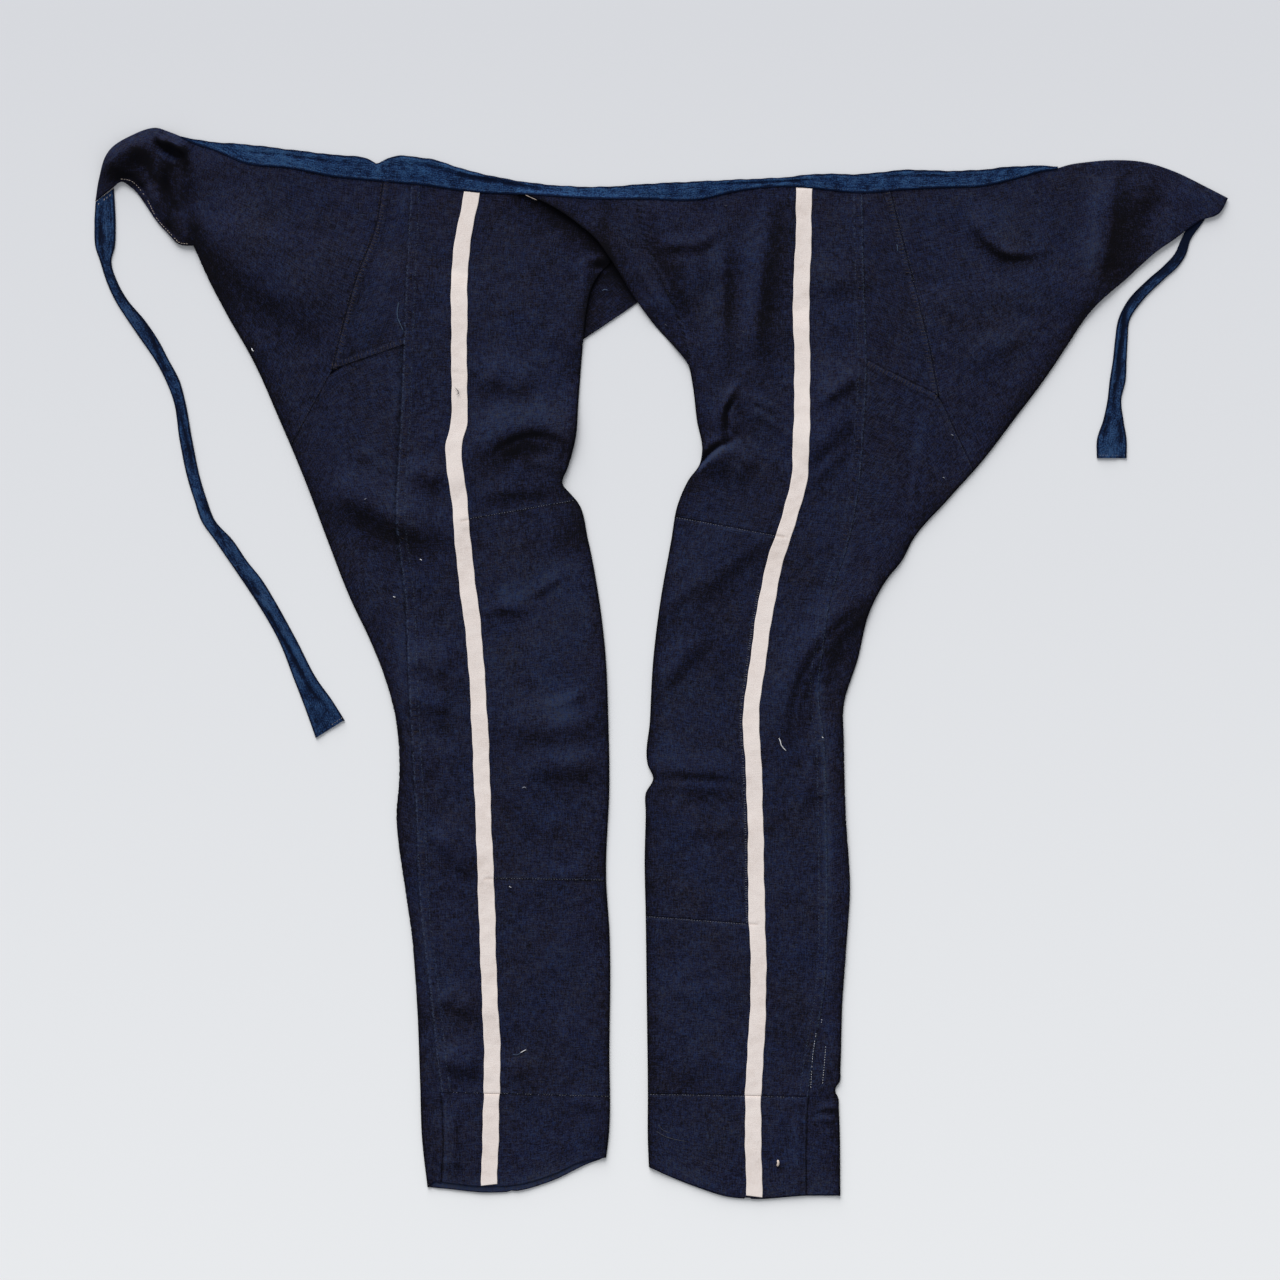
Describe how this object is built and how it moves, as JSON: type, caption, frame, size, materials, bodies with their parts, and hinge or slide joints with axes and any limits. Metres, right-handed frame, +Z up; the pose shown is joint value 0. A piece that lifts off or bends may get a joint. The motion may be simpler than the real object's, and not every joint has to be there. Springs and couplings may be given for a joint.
{
  "type": "momohiki work pants",
  "caption": "Indigo cotton momohiki work pants laid flat, with spread seat panels, waistband ties and pale leg stripes.",
  "frame": {"origin": "centre of the garment's bounding box in plan, on the surface that it lies on", "axes": "+X to the right of the layout along the waistband, +Y towards the waistband, +Z up from the surface"},
  "size_m": [1.0649, 1.004, 0.0077],
  "materials": {
    "indigo": "matt plain-woven cotton, dark indigo, worn bluer on the calves",
    "band": "matt denim-blue cotton, folded double",
    "tie": "matt blue cotton tie, pressed",
    "stripe": "matt off-white cotton tape"
  },
  "bodies": {
    "root": {"front_l": "indigo", "front_r": "indigo", "inner_l": "indigo", "inner_r": "indigo", "knee_l": "indigo", "knee_r": "indigo", "shin_l": "indigo", "shin_r": "indigo", "back_leg_l": "indigo", "back_leg_r": "indigo", "gore_l": "indigo", "gore_r": "indigo", "seat_l": "indigo", "seat_r": "indigo", "crotch_l": "indigo", "cuff_l": "indigo", "cuff_r": "indigo", "waistband": "band", "tie_l": "tie", "tie_r": "tie", "stripe_l": "stripe", "stripe_r": "stripe", "cuff_stripe_l": "stripe", "cuff_stripe_r": "stripe"}
  },
  "joints": []
}
